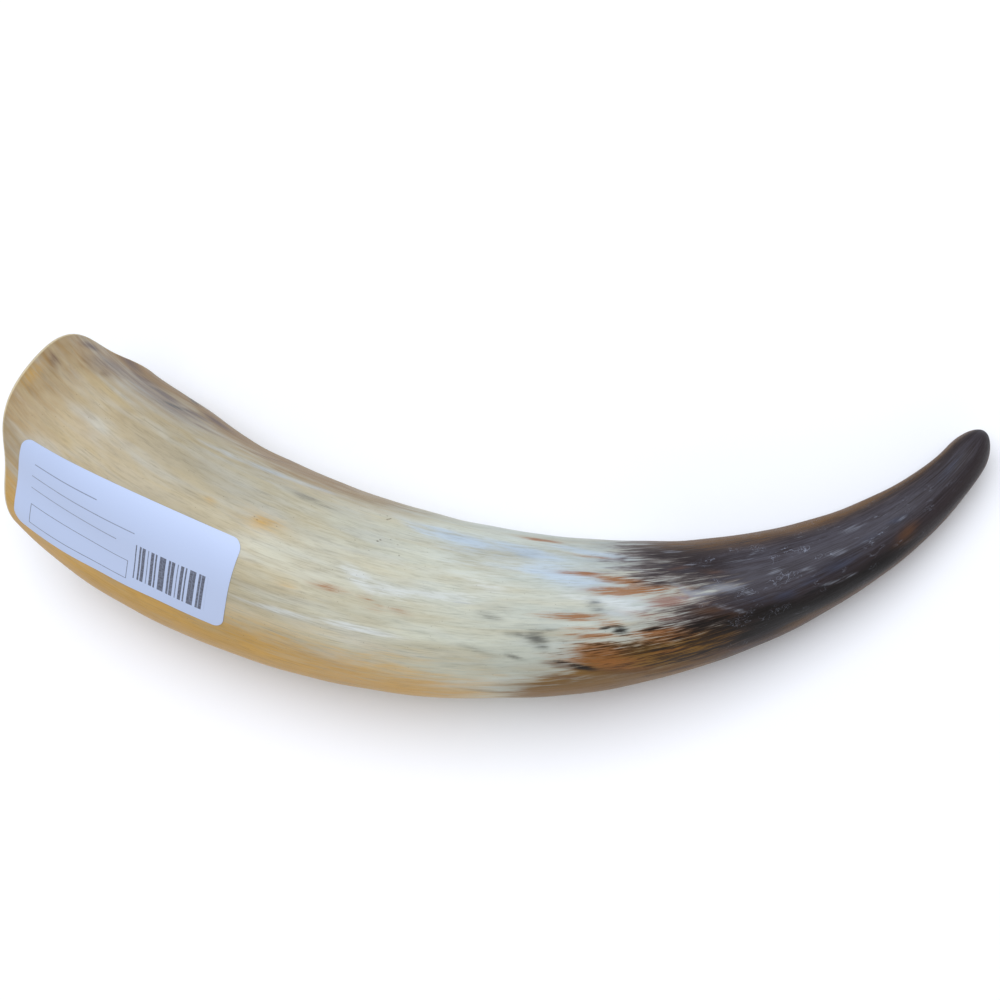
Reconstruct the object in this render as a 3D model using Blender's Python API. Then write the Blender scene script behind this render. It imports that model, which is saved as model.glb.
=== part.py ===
"""A polished water buffalo horn with a blank paper price label, lying on its side.

The horn is one hollow sheath. Sections are swept along a centre line that bends in plan, and each section
stands on the floor, so the underside of the base, the belly and the rest of the curve carry the horn and only
the tip lifts a little. A saw cut leaves the flat rim of the mouth, and the cavity narrows to a blind end.

Driving dimensions are millimetres and degrees. The object is built in metres with +Z up. +X runs from the base
towards the tip, +Y points to the inside of the curve, and the origin is on the floor under the middle of the
horn's box. A share is a place along the centre line, 0 at the base and 1 at the tip. An angle goes round a
section from the outside of the curve, over the top at 90, to the inside at 180.
"""

import bmesh
import bpy
import numpy as np

MM = 0.001

# Centre line
LENGTH = 270.4
BASE_AT = (-114.39, 25.3)
HEADING_SHARES = (0.0, 0.2, 0.4, 0.6, 0.8, 1.0)
HEADINGS = (-44.1, -25.8, -11.0, 5.7, 24.4, 59.4)
TIP_LIFT = 6.0
TIP_LIFT_FROM = 0.6

# Sections: round along most of the horn, a rounded triangle with flat sides at the base
HALF_WIDTH_SHARES = (0.0, 0.2, 0.4, 0.6, 0.75, 0.88, 1.0)
HALF_WIDTHS = (26.6, 26.9, 24.1, 18.8, 13.4, 8.5, 4.7)
TIP_ROUNDING = 8.6
THREE_LOBES = 0.09
SIX_LOBES = -0.02
CREST_ANGLE = 107.1
ROUND_FROM = 0.5

# Mouth: the saw cut faces back and leans over, so its top reaches further out than its foot
MOUTH_TURN = 31.6
MOUTH_OVERHANG = 21.2
RIM_CHAMFER = 0.8

# Cavity
WALL_AT_MOUTH = 4.5
CAVITY_END = 0.62

# Label: its lower and upper corners on the horn, as (share, angle). Its edges run straight while the horn bends,
# so its middle lies further round the sections than its ends.
LABEL_NEAR_BASE = ((0.021, 17.0), (0.004, 77.5))
LABEL_NEAR_BELLY = ((0.241, 32.3), (0.243, 92.8))
LABEL_BOW = 4.2
LABEL_LENGTH = 66.0
LABEL_WIDTH = 26.5
LABEL_CORNER_RADIUS = 3.0
LABEL_THICKNESS = 0.3
LABEL_GAP = 0.3

# How finely the surfaces are divided
COLUMNS = 48
WALL_RINGS = 52
TIP_RINGS = 8
CAVITY_RINGS = 20
LABEL_COLUMNS = 19
LABEL_ROWS = 9

BEFORE_BASE = -0.15
FINE_STEPS = 1151


def through(shares, values):
    """The law that takes the given value at each share: a polynomial, which goes straight on behind the base."""
    curve = np.polynomial.Polynomial.fit(shares, values, len(values) - 1)
    slope = curve.deriv()(0.0)
    return lambda share: curve(np.maximum(share, 0.0)) + slope * np.minimum(share, 0.0)


HEADING = through(HEADING_SHARES, HEADINGS)
HALF_WIDTH = through(HALF_WIDTH_SHARES, HALF_WIDTHS)
TIP_ROUNDING_SHARE = TIP_ROUNDING / LENGTH


def centre_line(share):
    """Plan position of the centre line and its heading in radians: the heading summed along the length."""
    fine = np.linspace(BEFORE_BASE, 1.0, FINE_STEPS)
    turn = np.radians(HEADING(fine))
    step = (fine[1] - fine[0]) * LENGTH
    along = [np.concatenate([[0.0], np.cumsum((f(turn[1:]) + f(turn[:-1])) / 2 * step)]) for f in (np.cos, np.sin)]
    x, y = (path - np.interp(0.0, fine, path) + start for path, start in zip(along, BASE_AT))
    return np.interp(share, fine, x), np.interp(share, fine, y), np.interp(share, fine, turn)


def lobes(share, angle):
    """How far a section departs from a circle: three flats round the base, which fade towards the belly."""
    fade = np.clip(1 - share / ROUND_FROM, 0.0, 1.0)
    fade = fade**2 * (3 - 2 * fade)
    turned = angle - np.radians(CREST_ANGLE)
    return 1 + fade * (THREE_LOBES * np.cos(3 * turned) + SIX_LOBES * np.cos(6 * turned))


def centre_height(share):
    """Height of the centre line that puts the lowest point of its section on the floor, plus the tip's lift."""
    below = np.radians(np.arange(180.0, 361.0, 2.0))
    share = share[..., None]
    drop = (-HALF_WIDTH(share) * lobes(share, below) * np.sin(below)).max(axis=-1)
    lift = np.clip((share[..., 0] - TIP_LIFT_FROM) / (1 - TIP_LIFT_FROM), 0.0, 1.0) ** 2
    return drop + TIP_LIFT * lift


def wall_points(share, angle, radius):
    """Points at the given radius round the centre line, in metres."""
    share, angle = np.broadcast_arrays(np.asarray(share, float), angle)
    x, y, turn = centre_line(share)
    reach = radius * lobes(share, angle)
    outward = reach * np.cos(angle)
    points = (x + outward * np.sin(turn), y - outward * np.cos(turn), centre_height(share) + reach * np.sin(angle))
    return np.stack(points, axis=-1) * MM


def outer_wall(share, angle):
    """The horn's skin, rounded off at the tip as half an ellipse."""
    into_tip = np.clip((share - (1 - TIP_ROUNDING_SHARE)) / TIP_ROUNDING_SHARE, 0.0, 1.0)
    return wall_points(share, angle, HALF_WIDTH(share) * np.sqrt(1 - into_tip**2))


def cavity_wall(share, angle):
    """The inside of the hollow: a parabola that narrows from the mouth to the blind end."""
    inside = HALF_WIDTH(0.0) - WALL_AT_MOUTH
    narrowing = np.clip(1 - np.clip(share, 0.0, None) ** 2 / CAVITY_END**2, 0.0, 1.0)
    ahead_of_base = HALF_WIDTH(share) - WALL_AT_MOUTH
    return wall_points(share, angle, np.where(share < 0, ahead_of_base, inside * narrowing))


def mouth_plane():
    """A point on the saw cut and its normal, which points out of the mouth."""
    turn, lean = np.radians((MOUTH_TURN, MOUTH_OVERHANG))
    normal = np.array([-np.cos(lean) * np.cos(turn), np.cos(lean) * np.sin(turn), -np.sin(lean)])
    return wall_points(0.0, 0.0, 0.0), normal


def share_at_mouth(wall, angles, behind=0.0):
    """Share where the line along the wall at each angle meets the saw cut, or a plane that far behind it."""
    point, normal = mouth_plane()
    low, high = np.full(len(angles), BEFORE_BASE), np.full(len(angles), -2 * BEFORE_BASE)
    for _ in range(40):
        middle = (low + high) / 2
        outside = (wall(middle, angles) - point) @ normal > -behind * MM
        low, high = np.where(outside, middle, low), np.where(outside, high, middle)
    return (low + high) / 2


def add_ring(mesh, points):
    """New vertices of the mesh at these points."""
    return [mesh.verts.new(point) for point in points]


def bridge(mesh, first, second, closed=True):
    """Quads between two rings, or two rows, of as many vertices."""
    count = len(first)
    for here in range(count if closed else count - 1):
        after = (here + 1) % count
        mesh.faces.new((first[here], first[after], second[after], second[here]))


def close_to_point(mesh, ring, point):
    """Triangles from a ring to one point."""
    end = mesh.verts.new(point)
    for here, vertex in enumerate(ring):
        mesh.faces.new((vertex, ring[(here + 1) % len(ring)], end))


def make_object(name, mesh, material, sharp_angle):
    """Links the finished mesh as a named object, smooth except across edges over the angle."""
    bmesh.ops.recalc_face_normals(mesh, faces=mesh.faces)
    data = bpy.data.meshes.new(name)
    mesh.to_mesh(data)
    mesh.free()
    data.materials.append(material)
    data.shade_smooth()
    data.set_sharp_from_angle(angle=np.radians(sharp_angle))
    made = bpy.data.objects.new(name, data)
    bpy.context.scene.collection.objects.link(made)
    return made


def make_material(name, colour, roughness):
    """A plain Principled BSDF material. The colour is linear RGB."""
    material = bpy.data.materials.new(name)
    material.use_nodes = True
    shader = material.node_tree.nodes["Principled BSDF"]
    shader.inputs["Base Color"].default_value = (*colour, 1.0)
    shader.inputs["Roughness"].default_value = roughness
    shader.inputs["Metallic"].default_value = 0.0
    return material


def horn():
    """The hollow sheath in one piece: cavity, flat rim, chamfered outer edge, skin and rounded tip."""
    angles = np.radians(np.arange(COLUMNS) * 360.0 / COLUMNS)
    mesh = bmesh.new()

    cavity_start = share_at_mouth(cavity_wall, angles)
    deep = np.linspace(0.0, 1.0, CAVITY_RINGS, endpoint=False)
    cavity = [add_ring(mesh, cavity_wall(cavity_start + (CAVITY_END - cavity_start) * part, angles)) for part in deep]
    close_to_point(mesh, cavity[-1], cavity_wall(np.array(CAVITY_END), 0.0))

    rim = outer_wall(share_at_mouth(outer_wall, angles), angles)
    inward = rim.mean(axis=0) - rim
    inward /= np.linalg.norm(inward, axis=1, keepdims=True)
    rim_ring = add_ring(mesh, rim + inward * RIM_CHAMFER * MM)

    skin_start = share_at_mouth(outer_wall, angles, behind=RIM_CHAMFER)
    tip_start = 1 - TIP_ROUNDING_SHARE
    along = np.linspace(0.0, 1.0, WALL_RINGS)
    skin = [add_ring(mesh, outer_wall(skin_start + (tip_start - skin_start) * part, angles)) for part in along]
    for turn in np.linspace(0.0, np.pi / 2, TIP_RINGS + 1)[1:-1]:
        skin.append(add_ring(mesh, outer_wall(np.array(tip_start + TIP_ROUNDING_SHARE * np.sin(turn)), angles)))
    close_to_point(mesh, skin[-1], outer_wall(np.array(1.0), 0.0))

    rings = [*reversed(cavity), rim_ring, *skin]
    for first, second in zip(rings[:-1], rings[1:]):
        bridge(mesh, first, second)
    keratin = make_material("horn_keratin", (0.50, 0.36, 0.19), 0.42)
    return make_object("horn", mesh, keratin, sharp_angle=30.0)


def label_layer(height):
    """Rows of points of the label, at a height over the skin in millimetres.

    The corners' shares and angles are blended across the label, and each row is shortened near the long edges so
    that the outline has round corners.
    """
    half_width = LABEL_WIDTH / 2
    across = half_width * np.sin(np.linspace(-np.pi / 2, np.pi / 2, LABEL_ROWS))[:, None]
    into_corner = np.clip(np.abs(across) - (half_width - LABEL_CORNER_RADIUS), 0.0, None)
    end_cut = LABEL_CORNER_RADIUS - np.sqrt(LABEL_CORNER_RADIUS**2 - into_corner**2)
    reach = 0.5 - end_cut / LABEL_LENGTH
    along = 0.5 + reach * np.linspace(-1.0, 1.0, LABEL_COLUMNS)
    upward = across / LABEL_WIDTH + 0.5

    base, belly = np.array(LABEL_NEAR_BASE), np.array(LABEL_NEAR_BELLY)
    near_base = base[0] + (base[1] - base[0]) * upward[..., None]
    near_belly = belly[0] + (belly[1] - belly[0]) * upward[..., None]
    place = near_base + (near_belly - near_base) * along[..., None]
    share = place[..., 0]
    angle = np.radians(place[..., 1] + LABEL_BOW * 4 * along * (1 - along))

    step = 1e-4
    skin = outer_wall(share, angle)
    along_horn = outer_wall(share + step, angle) - skin
    around_horn = outer_wall(share, angle + step) - skin
    normal = np.cross(along_horn, around_horn)
    normal *= np.sign(normal[..., 2:])
    normal /= np.linalg.norm(normal, axis=-1, keepdims=True)
    return skin + normal * height * MM


def label():
    """The price label: one thin closed sheet that follows the horn just above its skin."""
    mesh = bmesh.new()
    sides = []
    for height in (LABEL_GAP, LABEL_GAP + LABEL_THICKNESS):
        rows = [add_ring(mesh, row) for row in label_layer(height)]
        for first, second in zip(rows[:-1], rows[1:]):
            bridge(mesh, first, second, closed=False)
        left = [row[0] for row in rows[1:-1]]
        right = [row[-1] for row in rows[1:-1]]
        sides.append([*rows[0], *right, *reversed(rows[-1]), *reversed(left)])
    bridge(mesh, *sides)
    paper = make_material("label_paper", (0.80, 0.82, 0.90), 0.6)
    return make_object("label", mesh, paper, sharp_angle=40.0)


def main():
    """Clears the scene and builds the two pieces."""
    for old in list(bpy.data.objects):
        bpy.data.objects.remove(old)
    horn()
    label()


main()
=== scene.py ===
"""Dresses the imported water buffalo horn: a polished sheath of banded keratin and its blank price label.

The horn lies on its side with its base at -X, its tip at +X and the inside of its curve towards +Y. Lengths
are millimetres and angles are degrees where nothing else is said, and the meshes are in metres in the frame's
own axes. A share is a place along the centre line, 0 at the base and 1 at the tip. An angle goes round a
section from the outside of the curve, over the top at 90, to the inside at 180.
"""

import logging
from collections.abc import Callable, Mapping
from dataclasses import dataclass
from enum import Enum
from typing import ClassVar

import bpy
import numpy as np
from mathutils import Matrix, Vector


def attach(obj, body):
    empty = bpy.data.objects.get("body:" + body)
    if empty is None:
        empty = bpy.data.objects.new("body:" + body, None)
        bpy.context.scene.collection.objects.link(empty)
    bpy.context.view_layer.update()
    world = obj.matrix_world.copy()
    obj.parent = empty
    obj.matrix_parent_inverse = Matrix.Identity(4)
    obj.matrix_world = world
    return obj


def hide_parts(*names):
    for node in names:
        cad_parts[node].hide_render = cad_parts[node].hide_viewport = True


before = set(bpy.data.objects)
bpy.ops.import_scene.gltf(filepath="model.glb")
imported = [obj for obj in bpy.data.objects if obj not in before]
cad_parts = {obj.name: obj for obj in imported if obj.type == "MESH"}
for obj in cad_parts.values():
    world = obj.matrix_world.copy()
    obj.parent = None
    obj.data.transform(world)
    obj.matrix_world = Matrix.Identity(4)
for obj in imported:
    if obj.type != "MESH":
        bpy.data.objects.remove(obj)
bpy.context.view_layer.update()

MM = 0.001
log = logging.getLogger("horn")


def linear(hex_colour: str) -> tuple[float, float, float, float]:
    """Turns an sRGB hex colour into the linear colour that a shader takes.

    Args:
        hex_colour: six hex digits after a hash sign.

    Returns:
        Linear red, green and blue, and an alpha of one.
    """
    srgb = np.array([int(hex_colour[i : i + 2], 16) for i in (1, 3, 5)]) / 255
    rgb = np.where(srgb <= 0.04045, srgb / 12.92, ((srgb + 0.055) / 1.055) ** 2.4)
    return (*(float(channel) for channel in rgb), 1.0)


def add_node(
    tree: bpy.types.NodeTree,
    kind: str,
    settings: Mapping[str, object] | None = None,
    inputs: Mapping[str | int, object] | None = None,
) -> bpy.types.Node:
    """Adds a node to a tree with its settings, and gives each input a value or a link.

    Args:
        tree: the node tree to add to.
        kind: the node's type name.
        settings: the node's own properties, by name.
        inputs: what goes into each input, by name or index: a plain value, or another node's output.

    Returns:
        The new node.
    """
    node = tree.nodes.new(kind)
    for name, value in (settings or {}).items():
        setattr(node, name, value)
    for key, value in (inputs or {}).items():
        if isinstance(value, bpy.types.NodeSocket):
            tree.links.new(value, node.inputs[key])
        else:
            node.inputs[key].default_value = value
    return node


def attribute(tree: bpy.types.NodeTree, name: str, output: str = "Fac") -> bpy.types.NodeSocket:
    """Reads one of the mesh's own attributes, as a number or as a vector."""
    return add_node(tree, "ShaderNodeAttribute", {"attribute_name": name}).outputs[output]


def calculated(
    tree: bpy.types.NodeTree, operation: str, *values: bpy.types.NodeSocket | float, clamp: bool = False
) -> bpy.types.NodeSocket:
    """Works out a number from others.

    Args:
        tree: the material's nodes.
        operation: what is done with the values, by Blender's name for it.
        values: outputs or plain numbers, in the order that the operation takes them.
        clamp: whether the result is held from 0 to 1.

    Returns:
        The output that holds the result.
    """
    settings = {"operation": operation, "use_clamp": clamp}
    return add_node(tree, "ShaderNodeMath", settings, dict(enumerate(values))).outputs[0]


def ranged(
    tree: bpy.types.NodeTree,
    value: bpy.types.NodeSocket,
    source: tuple[float, float],
    target: tuple[float, float],
    smooth: bool = False,
) -> bpy.types.NodeSocket:
    """Maps a value from one range to another and holds it inside the second.

    Args:
        tree: the material's nodes.
        value: the output to map.
        source: where the value starts and ends.
        target: what it becomes at each.
        smooth: whether both ends level off.

    Returns:
        The output that holds the mapped value.
    """
    names = ("From Min", "From Max", "To Min", "To Max")
    settings = {"interpolation_type": "SMOOTHSTEP" if smooth else "LINEAR"}
    ends = dict(zip(names, (*source, *target)))
    return add_node(tree, "ShaderNodeMapRange", settings, {"Value": value, **ends}).outputs[0]


def blended(
    tree: bpy.types.NodeTree,
    amount: bpy.types.NodeSocket,
    under: bpy.types.NodeSocket | tuple[float, ...],
    over: bpy.types.NodeSocket | tuple[float, ...],
) -> bpy.types.NodeSocket:
    """Blends a colour over another.

    Args:
        tree: the material's nodes.
        amount: how much of the upper colour shows.
        under: the lower colour.
        over: the upper colour.

    Returns:
        The output that holds the blend.
    """
    return add_node(tree, "ShaderNodeMix", {"data_type": "RGBA"}, {0: amount, 6: under, 7: over}).outputs[2]


def smooth_step(low: float, high: float, value: np.ndarray) -> np.ndarray:
    """Rises from 0 at low to 1 at high with level ends: t squared times three less two t."""
    part = np.clip((value - low) / (high - low), 0.0, 1.0)
    return part**2 * (3 - 2 * part)


def turn_between(angle: np.ndarray, other: float) -> np.ndarray:
    """The signed turn from one angle to others in degrees, the short way round."""
    return (angle - other + 180.0) % 360.0 - 180.0


@dataclass(frozen=True)
class HornForm:
    """The horn's shape: sections swept along a centre line that bends in plan.

    The solids have the same law. Only here the rim is bowed, the inner flank is fuller and the skin ripples.
    """

    length: float = 270.4
    base_at: tuple[float, float] = (-114.39, 25.3)
    heading_shares: tuple[float, ...] = (0.0, 0.2, 0.4, 0.6, 0.8, 1.0)
    headings: tuple[float, ...] = (-44.1, -25.8, -11.0, 5.7, 24.4, 59.4)
    tip_lift: float = 6.0
    tip_lift_from: float = 0.6
    width_shares: tuple[float, ...] = (0.0, 0.2, 0.4, 0.6, 0.75, 0.88, 1.0)
    half_widths: tuple[float, ...] = (26.6, 26.9, 24.1, 18.8, 13.4, 8.5, 4.7)
    tip_rounding: float = 8.6
    three_lobes: float = 0.09
    six_lobes: float = -0.02
    crest_angle: float = 107.1
    round_from: float = 0.5
    mouth_turn: float = 31.6
    mouth_overhang: float = 21.2
    wall_at_mouth: float = 4.5
    cavity_end: float = 0.62
    before_base: float = -0.15
    rim_bows: tuple[tuple[float, float, float], ...] = ((3.2, 147.0, 35.0), (-2.6, 201.0, 26.0))
    cut_before: float = 0.3
    cut_halvings: int = 40
    shoulder: float = 0.8
    shoulder_at: tuple[float, float] = (0.085, 188.0)
    shoulder_spread: tuple[float, float] = (0.05, 32.0)
    ripple_height: float = 0.035
    ripple_waves: int = 14
    ripple_lengths: tuple[float, float] = (14.0, 70.0)
    ripple_turns: int = 10
    ripple_seed: int = 11
    centre_line_points: int = 1151

    @staticmethod
    def through(
        shares: tuple[float, ...], values: tuple[float, ...]
    ) -> Callable[[np.ndarray], np.ndarray]:
        """Makes a law from its values: the polynomial through them, which goes straight on behind the base.

        Args:
            shares: where along the horn each value holds.
            values: the value at each share.

        Returns:
            A function from shares to values.
        """
        curve = np.polynomial.Polynomial.fit(shares, values, len(values) - 1)
        slope = curve.deriv()(0.0)
        return lambda share: curve(np.maximum(share, 0.0)) + slope * np.minimum(share, 0.0)

    def half_width(self, share: np.ndarray) -> np.ndarray:
        """Half of the section's width at each share, in millimetres."""
        return self.through(self.width_shares, self.half_widths)(share)

    def centre_line(self, share: np.ndarray) -> tuple[np.ndarray, np.ndarray, np.ndarray]:
        """Finds the centre line in plan: the heading's cosine and sine summed along the length.

        Args:
            share: places along the horn.

        Returns:
            X and Y in millimetres, and the heading in radians, at each share.
        """
        fine = np.linspace(self.before_base, 1.0, self.centre_line_points)
        turn = np.radians(self.through(self.heading_shares, self.headings)(fine))
        step = (fine[1] - fine[0]) * self.length
        paths = []
        for part, start in zip((np.cos(turn), np.sin(turn)), self.base_at):
            path = np.concatenate([[0.0], np.cumsum((part[1:] + part[:-1]) / 2 * step)])
            paths.append(np.interp(share, fine, path - np.interp(0.0, fine, path) + start))
        return paths[0], paths[1], np.interp(share, fine, turn)

    def lobes(self, share: np.ndarray, angle: np.ndarray) -> np.ndarray:
        """The section's radius over its half width: three soft flats at the base, gone by mid length."""
        fade = 1 - smooth_step(0.0, self.round_from, share)
        turned = angle - np.radians(self.crest_angle)
        return 1 + fade * (self.three_lobes * np.cos(3 * turned) + self.six_lobes * np.cos(6 * turned))

    def centre_height(self, share: np.ndarray) -> np.ndarray:
        """Height of the centre line that puts each section on the floor, plus the tip's lift."""
        below = np.radians(np.arange(180.0, 361.0, 3.0))
        drops = [-self.half_width(share) * self.lobes(share, angle) * np.sin(angle) for angle in below]
        lift = np.clip((share - self.tip_lift_from) / (1 - self.tip_lift_from), 0.0, 1.0) ** 2
        return np.max(drops, axis=0) + self.tip_lift * lift

    def ripple(self, share: np.ndarray, angle: np.ndarray) -> np.ndarray:
        """Low unevenness left by scraping and sanding: a sum of cosine waves along and round the horn.

        Args:
            share: places along the horn.
            angle: angles round it, in radians.

        Returns:
            A radial offset in millimetres.
        """
        rng = np.random.default_rng(self.ripple_seed)
        total = np.zeros(np.broadcast(share, angle).shape)
        for _ in range(self.ripple_waves):
            wavelength = rng.uniform(*self.ripple_lengths)
            around = rng.integers(0, self.ripple_turns)
            phase = rng.uniform(0.0, 2 * np.pi)
            total += np.cos(2 * np.pi * share * self.length / wavelength + around * angle + phase)
        return self.ripple_height * total

    def points(self, share: np.ndarray, angle: np.ndarray, radius: np.ndarray) -> np.ndarray:
        """Places points round the centre line: out along the section's normal, and up.

        Args:
            share: places along the horn.
            angle: angles round it, in radians, of the same shape.
            radius: the radius of a round section there, in millimetres.

        Returns:
            Points in metres, with one more axis than the angles.
        """
        x, y, turn = self.centre_line(share)
        reach = radius * self.lobes(share, angle)
        outward = reach * np.cos(angle)
        height = self.centre_height(share) + reach * np.sin(angle)
        return np.stack((x + outward * np.sin(turn), y - outward * np.cos(turn), height), axis=-1) * MM

    def skin(self, share: np.ndarray, angle: np.ndarray) -> np.ndarray:
        """Points on the outside: rippled, a little fuller on the inner flank by the mouth, with a round tip.

        The fuller part is a bell along and round the horn, and the tip is half an ellipse along it.
        """
        rounding = self.tip_rounding / self.length
        into_tip = np.clip((share - (1 - rounding)) / rounding, 0.0, 1.0)
        from_along = (share - self.shoulder_at[0]) / self.shoulder_spread[0]
        from_angle = turn_between(np.degrees(angle), self.shoulder_at[1]) / self.shoulder_spread[1]
        fuller = self.shoulder * np.exp(-(from_along**2) - from_angle**2)
        radius = self.half_width(share) + self.ripple(share, angle) + fuller
        return self.points(share, angle, radius * np.sqrt(1 - into_tip**2))

    def cavity(self, share: np.ndarray, angle: np.ndarray) -> np.ndarray:
        """Points on the inside of the hollow: a parabola that narrows from the mouth to the blind end."""
        inside = self.half_width(np.zeros(1))[0] - self.wall_at_mouth
        narrowing = np.clip(1 - np.clip(share, 0.0, None) ** 2 / self.cavity_end**2, 0.0, 1.0)
        ahead_of_base = self.half_width(share) - self.wall_at_mouth
        return self.points(share, angle, np.where(share < 0, ahead_of_base, inside * narrowing))

    def share_at_mouth(
        self, wall: Callable[[np.ndarray, np.ndarray], np.ndarray], angle: np.ndarray, behind: float = 0.0
    ) -> np.ndarray:
        """Finds where a wall meets the saw cut, by halving the range of shares again and again.

        The cut isn't quite flat: a bell out and one in bow it where it runs off the inner side of the curve.

        Args:
            wall: the surface, as a function of share and angle.
            angle: angles round it, in radians.
            behind: distance of the plane behind the cut, in millimetres.

        Returns:
            The share at each angle.
        """
        turn, lean = np.radians((self.mouth_turn, self.mouth_overhang))
        normal = np.array([-np.cos(lean) * np.cos(turn), np.cos(lean) * np.sin(turn), -np.sin(lean)])
        centre = self.points(np.zeros(1), np.zeros(1), np.zeros(1))[0]
        reach = np.full(len(angle), -behind)
        for bow, at, spread in self.rim_bows:
            reach += bow * np.exp(-((turn_between(np.degrees(angle), at) / spread) ** 2))
        low = np.full(len(angle), self.before_base)
        high = np.full(len(angle), self.cut_before)
        for _ in range(self.cut_halvings):
            middle = (low + high) / 2
            outside = (wall(middle, angle) - centre) @ normal > reach * MM
            low = np.where(outside, middle, low)
            high = np.where(outside, high, middle)
        return (low + high) / 2


class PigmentAndPaintedLight(Enum):
    """The horn's colours: most lie in the keratin, and some are painted reflections and painted shade."""

    HONEY = "honey"
    CREAM = "cream"
    TAN = "tan_and_edge_shade"
    UMBER = "umber"
    MAUVE = "mauve"
    SMOKE = "smoke"
    OLIVE = "olive"
    RUST = "rust"
    ROSE = "rose"
    BRINDLE = "brindle"
    TIP = "tip"
    SLATE_AND_SKY_REFLECTION = "slate_and_sky_reflection"
    SKY_BLUE_REFLECTION = "sky_blue_reflection"
    HAZE = "haze"
    CHAR = "char"
    AMBER_AND_GROUND_REFLECTION = "amber_and_ground_reflection"
    FROST_AND_SKY_REFLECTION = "frost_and_sky_reflection"
    CHALK = "chalk"
    PITS = "pits"
    WEAR = "wear"
    INSIDE = "inside"
    SAWN = "sawn"


@dataclass(frozen=True)
class Streak:
    """One streak or cloud of a tint, from one place on the horn to another.

    A place is millimetres along the centre line and degrees round the section, and the width is millimetres.
    """

    start_along: float
    start_angle: float
    end_along: float
    end_angle: float
    width: float
    strength: float
    reach: ClassVar[float] = 0.6
    fall: ClassVar[float] = 0.9

    def mirrored(self, shift: float, turn: float) -> "Streak":
        """The same streak on the underside, moved along and round a little."""
        return Streak(
            self.start_along + shift,
            turn - self.start_angle,
            self.end_along + shift,
            turn - self.end_angle,
            self.width,
            self.strength,
        )

    def field(self, along: np.ndarray, angle: np.ndarray, form: HornForm) -> np.ndarray:
        """Spreads the streak as a bell over an ellipse whose long axis joins its two ends.

        Args:
            along: each point's millimetres along the horn.
            angle: each point's degrees round it.
            form: the horn's form, whose half width turns angles into millimetres.

        Returns:
            The pigment's strength at each point.
        """
        middle_along = (self.start_along + self.end_along) / 2
        middle_angle = (self.start_angle + self.end_angle) / 2
        arc = np.radians(float(form.half_width(np.array(middle_along / form.length))))
        run = np.array([self.end_along - self.start_along, (self.end_angle - self.start_angle) * arc])
        length = float(np.hypot(*run))
        forward = run / length
        east = along - middle_along
        north = turn_between(angle, middle_angle) * arc
        lengthwise = (east * forward[0] + north * forward[1]) / (self.reach * length)
        across = (north * forward[0] - east * forward[1]) / (self.reach * self.width)
        return self.strength * np.exp(-self.fall * (lengthwise**2 + across**2))
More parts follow.
